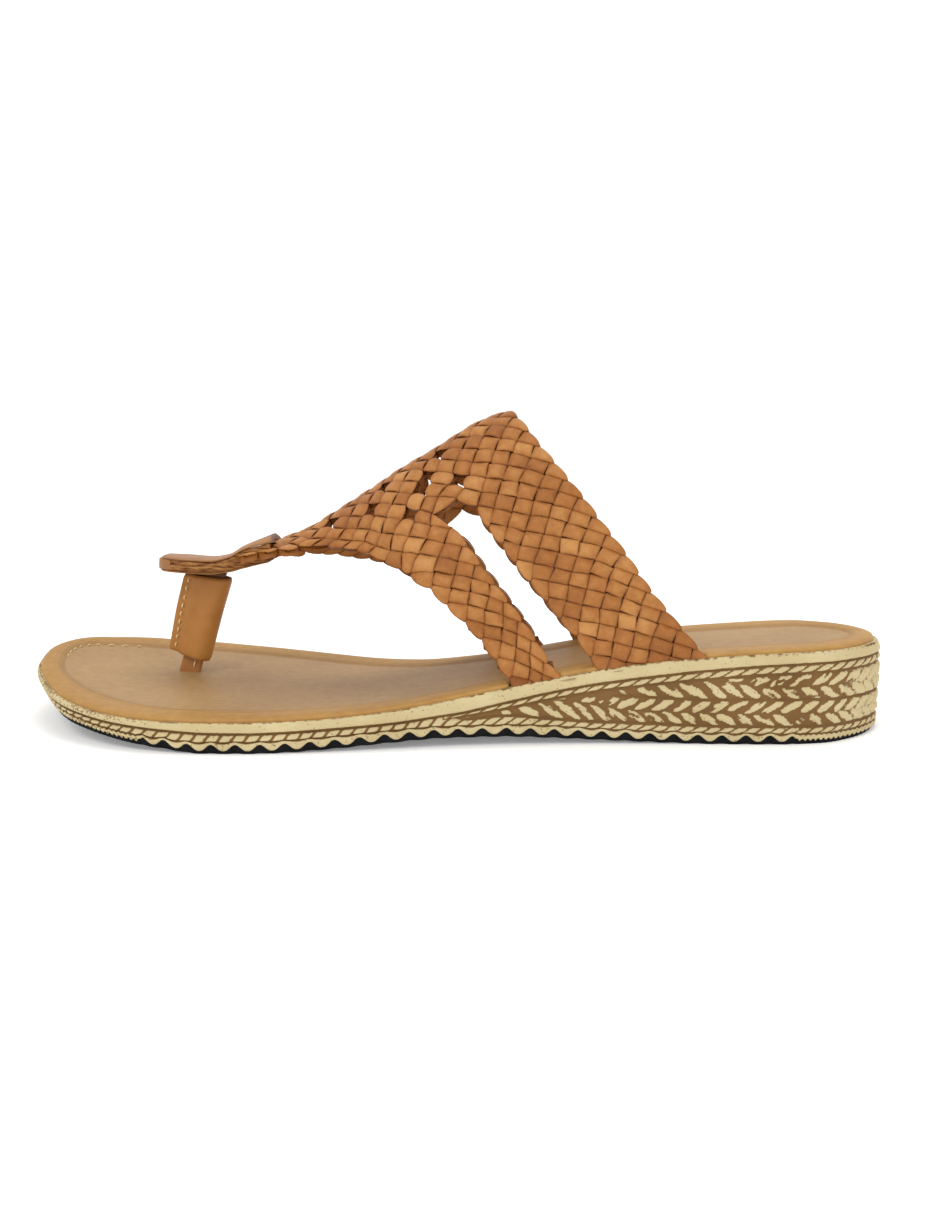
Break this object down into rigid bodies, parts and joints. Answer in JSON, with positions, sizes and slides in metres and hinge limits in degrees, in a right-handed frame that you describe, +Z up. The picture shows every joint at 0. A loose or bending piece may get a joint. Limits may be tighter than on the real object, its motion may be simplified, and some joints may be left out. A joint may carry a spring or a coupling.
{
  "type": "sandal",
  "caption": "Woven leather toe-post sandal with slotted side straps, a folded toe tab and a low wedge sole with rope and wheat-ear side bands.",
  "frame": {"origin": "on the floor under the middle of the sandal's outline from above", "axes": "+X from the toe to the heel, -Y towards the outer side of the left foot, +Z up"},
  "size_m": [0.2555, 0.095, 0.0908],
  "materials": {
    "sole": "matte, cream with a brown antique wash in the recesses",
    "footbed_leather": "soft semi-matte tan",
    "woven_leather": "smooth cognac with a soft gloss",
    "tab_leather": "smooth dark brown",
    "sleeve_leather": "smooth cognac with stitches"
  },
  "bodies": {
    "root": {"sole": "sole", "footbed": "footbed_leather", "upper": "woven_leather", "toe_tab": "tab_leather", "post_sleeve": "sleeve_leather", "toe_post": "tab_leather"}
  },
  "joints": []
}
